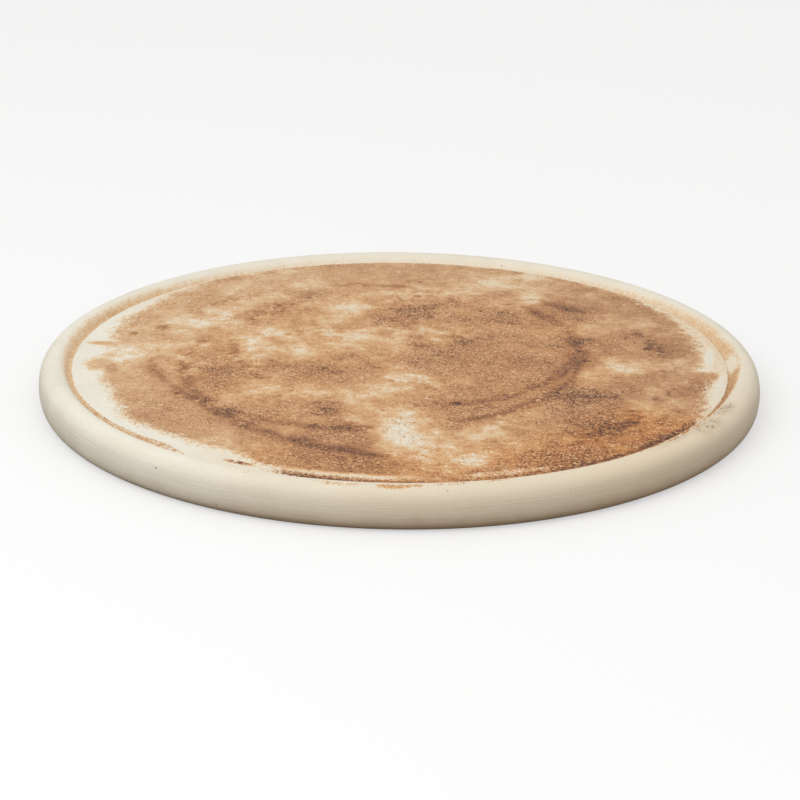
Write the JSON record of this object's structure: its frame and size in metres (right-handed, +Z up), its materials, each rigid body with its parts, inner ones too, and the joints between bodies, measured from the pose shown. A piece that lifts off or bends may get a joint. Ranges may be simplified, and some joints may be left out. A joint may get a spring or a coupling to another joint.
{
  "type": "pizza stone",
  "caption": "Round baking stone of fired clay, made in one piece, with a rounded raised rim, a shallow groove inside it and a flat baking floor.",
  "frame": {"origin": "centre of the flat ring that the stone stands on", "axes": "+Z up along the stone's axis; the stone is round, so +X and +Y are two directions square to each other in the plane it stands on, and the picture looks along +Y"},
  "size_m": [0.36, 0.36, 0.02],
  "materials": {
    "fireclay": "matt unglazed cream fireclay, with scorched brown stains baked into the groove and the floor"
  },
  "bodies": {
    "root": {"baking_stone": "fireclay"}
  },
  "joints": []
}
